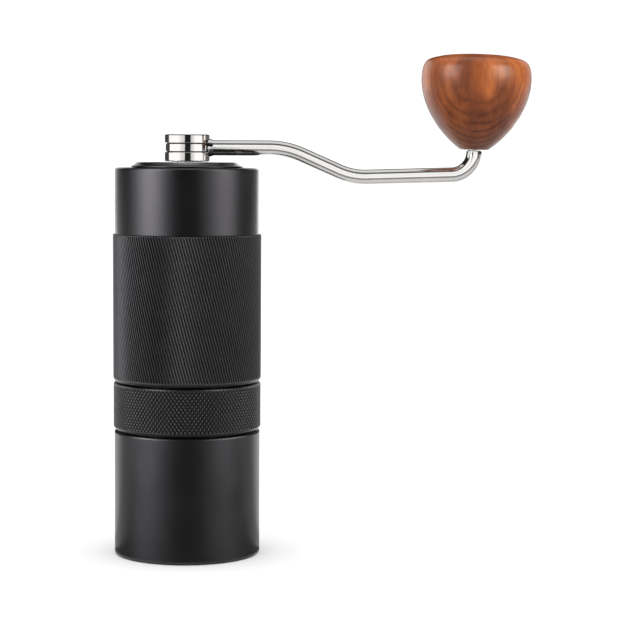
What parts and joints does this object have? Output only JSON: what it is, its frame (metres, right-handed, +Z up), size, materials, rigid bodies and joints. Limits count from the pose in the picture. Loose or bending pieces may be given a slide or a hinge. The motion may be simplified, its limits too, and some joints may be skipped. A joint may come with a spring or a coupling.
{
  "type": "hand crank coffee grinder",
  "caption": "Hand crank coffee grinder: black cylindrical body with grip sleeve and knurled grind ring, screw-on catch cup, lift-off lid, bent steel crank and turned wooden knob.",
  "frame": {"origin": "centre of the rest plane under the catch cup's foot pad", "axes": "+Z up along the grinding axis, +X from the axis towards the crank knob"},
  "size_m": [0.1589, 0.0566, 0.1915],
  "materials": {
    "black_aluminium": "fine bead-blasted black anodising, satin",
    "grip_rubber": "matte, fine slanting ridges",
    "seal_rubber": "matte silicone",
    "steel": "ground",
    "burr_steel": "machined",
    "spring_steel": "dark, oiled",
    "brass": "pressed",
    "acetal": "turned",
    "polished_steel": "polished stainless steel",
    "walnut": "turned, satin lacquer"
  },
  "bodies": {
    "housing": {"body_tube": "black_aluminium", "grip_sleeve": "grip_rubber", "upper_bridge": "black_aluminium", "lower_bridge": "black_aluminium", "bridge_screws": "steel", "upper_bearing_outer_race": "steel", "lower_bearing_outer_race": "steel", "ring_circlip": "spring_steel", "detent_balls": "steel", "detent_springs": "spring_steel", "preload_spring": "spring_steel", "cup_seal": "seal_rubber"},
    "drive_shaft": {"main_shaft": "steel", "shaft_circlip": "spring_steel", "upper_bearing_inner_race": "steel", "lower_bearing_inner_race": "steel", "inner_burr": "burr_steel", "burr_washer": "steel", "burr_nut": "steel"},
    "upper_ball_set": {"upper_bearing_balls": "steel", "upper_bearing_cage": "brass"},
    "lower_ball_set": {"lower_bearing_balls": "steel", "lower_bearing_cage": "brass"},
    "ring": {"grind_ring": "black_aluminium"},
    "carrier": {"burr_carrier": "black_aluminium", "outer_burr": "burr_steel", "carrier_screws": "steel", "guide_pins": "steel"},
    "cup": {"catch_cup": "black_aluminium", "cup_foot_pad": "seal_rubber"},
    "lid_unit": {"lid": "black_aluminium", "lid_seal": "seal_rubber", "lid_bush": "acetal"},
    "crank": {"crank_hub": "polished_steel", "hub_circlip": "spring_steel", "crank_arm": "polished_steel", "knob_washer": "steel", "knob_clip": "spring_steel"},
    "knob_unit": {"knob": "walnut", "knob_bush": "polished_steel"}
  },
  "joints": [
    {"name": "lid_lift", "type": "slide", "parent": "housing", "child": "lid_unit", "axis": [0, 0, 1], "range_m": [0, 0.03]},
    {"name": "crank_spin", "type": "hinge", "parent": "lid_unit", "child": "crank", "pos_m": [0, 0, 0.15555], "axis": [0, 0, 1], "continuous": true},
    {"name": "knob_spin", "type": "hinge", "parent": "crank", "child": "knob_unit", "pos_m": [0.10917, 0, 0.15536], "axis": [0.0227, 0, 0.9997], "continuous": true},
    {"name": "shaft_spin", "type": "hinge", "parent": "housing", "child": "drive_shaft", "pos_m": [0, 0, 0.1289], "axis": [0, 0, 1], "continuous": true},
    {"name": "upper_ball_orbit", "type": "hinge", "parent": "housing", "child": "upper_ball_set", "pos_m": [0, 0, 0.1314], "axis": [0, 0, 1], "continuous": true},
    {"name": "lower_ball_orbit", "type": "hinge", "parent": "housing", "child": "lower_ball_set", "pos_m": [0, 0, 0.0844], "axis": [0, 0, 1], "continuous": true},
    {"name": "ring_turn", "type": "hinge", "parent": "housing", "child": "ring", "pos_m": [0, 0, 0.0569], "axis": [0, 0, 1], "range_deg": [-270, 270]},
    {"name": "carrier_travel", "type": "slide", "parent": "housing", "child": "carrier", "axis": [0, 0, 1], "range_m": [-0.00075, 0.00075], "deforming": ["preload_spring"]},
    {"name": "cup_removal", "type": "slide", "parent": "housing", "child": "cup", "axis": [0, 0, -1], "range_m": [0, 0.06]}
  ],
  "couplings": [
    {"joint": "shaft_spin", "follows": "crank_spin", "ratio": 1},
    {"joint": "upper_ball_orbit", "follows": "crank_spin", "ratio": 0.4},
    {"joint": "lower_ball_orbit", "follows": "crank_spin", "ratio": 0.4},
    {"joint": "ring_turn", "follows": "carrier_travel", "rad_per_m": 6283.2}
  ]
}
